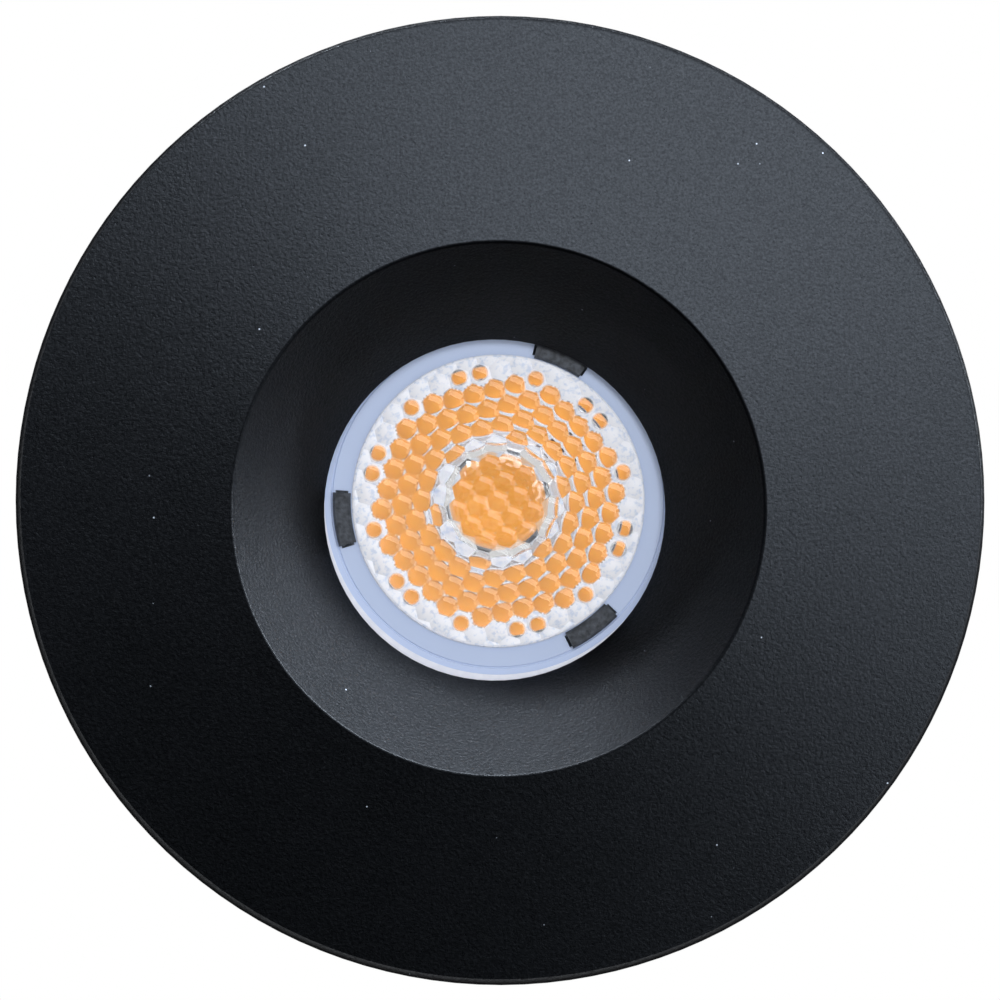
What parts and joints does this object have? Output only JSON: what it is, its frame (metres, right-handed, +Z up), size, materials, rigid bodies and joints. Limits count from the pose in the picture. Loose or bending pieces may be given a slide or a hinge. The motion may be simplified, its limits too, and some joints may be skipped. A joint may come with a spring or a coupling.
{
  "type": "recessed downlight",
  "caption": "Round recessed ceiling downlight: wide black bezel with a conical anti-glare recess, clear honeycomb lens, finned heat sink and two sprung ceiling clips.",
  "frame": {"origin": "on the lamp's axis, in the plane of the ceiling's lower face, which is the top of the gasket", "axes": "+Z up into the ceiling void, so the light leaves along -Z; the two clips lie at +X and -X and the cable inlet at +Y"},
  "size_m": [0.09, 0.09, 0.0556],
  "materials": {
    "powder_coat": "matt black powder coat over a die casting",
    "gasket_foam": "closed-cell foam",
    "clear_optic": "clear moulded acrylic",
    "seal_silicone": "translucent silicone",
    "holder_black": "moulded, fine satin",
    "holder_white": "moulded, matt white",
    "contact_bronze": "spring bronze",
    "screw_steel": "zinc plated",
    "board_ceramic": "white alumina",
    "dam_silicone": "white silicone bead",
    "phosphor": "phosphor in clear silicone",
    "graphite_pad": "graphite-filled silicone",
    "sink_aluminium": "cold forged, satin anodised",
    "grommet_rubber": "soft black rubber",
    "bracket_steel": "zinc plated pressing",
    "pin_steel": "turned and polished",
    "ring_steel": "blackened spring steel",
    "spring_steel": "drawn spring wire",
    "pad_rubber": "soft moulded sleeve"
  },
  "bodies": {
    "fitting": {"bezel": "powder_coat", "ceiling_gasket": "gasket_foam", "lens_seal": "seal_silicone", "lens": "clear_optic", "lens_holder": "holder_black", "led_holder": "holder_white", "led_contacts": "contact_bronze", "led_holder_screws": "screw_steel", "led_board": "board_ceramic", "led_dam": "dam_silicone", "led_phosphor": "phosphor", "thermal_pad": "graphite_pad", "heat_sink": "sink_aluminium", "heat_sink_screws": "screw_steel", "cable_grommet": "grommet_rubber", "clip_bracket_a": "bracket_steel", "clip_bracket_b": "bracket_steel", "bracket_screws": "screw_steel", "clip_pin_a": "pin_steel", "clip_pin_b": "pin_steel", "pin_retaining_rings": "ring_steel", "clip_spring_a": "spring_steel", "clip_spring_b": "spring_steel"},
    "clip_a": {"clip_arm_a": "bracket_steel", "clip_pad_a": "pad_rubber"},
    "clip_b": {"clip_arm_b": "bracket_steel", "clip_pad_b": "pad_rubber"}
  },
  "joints": [
    {"name": "clip_a_fold", "type": "hinge", "parent": "fitting", "child": "clip_a", "pos_m": [0.028, 0, 0.0165], "axis": [0, -1, 0], "range_deg": [0, 124], "stiffness_Nm_per_rad": 0.03, "springref_deg": -57.3, "deforming": ["clip_spring_a"]},
    {"name": "clip_b_fold", "type": "hinge", "parent": "fitting", "child": "clip_b", "pos_m": [-0.028, 0, 0.0165], "axis": [0, 1, 0], "range_deg": [0, 124], "stiffness_Nm_per_rad": 0.03, "springref_deg": -57.3, "deforming": ["clip_spring_b"]}
  ]
}
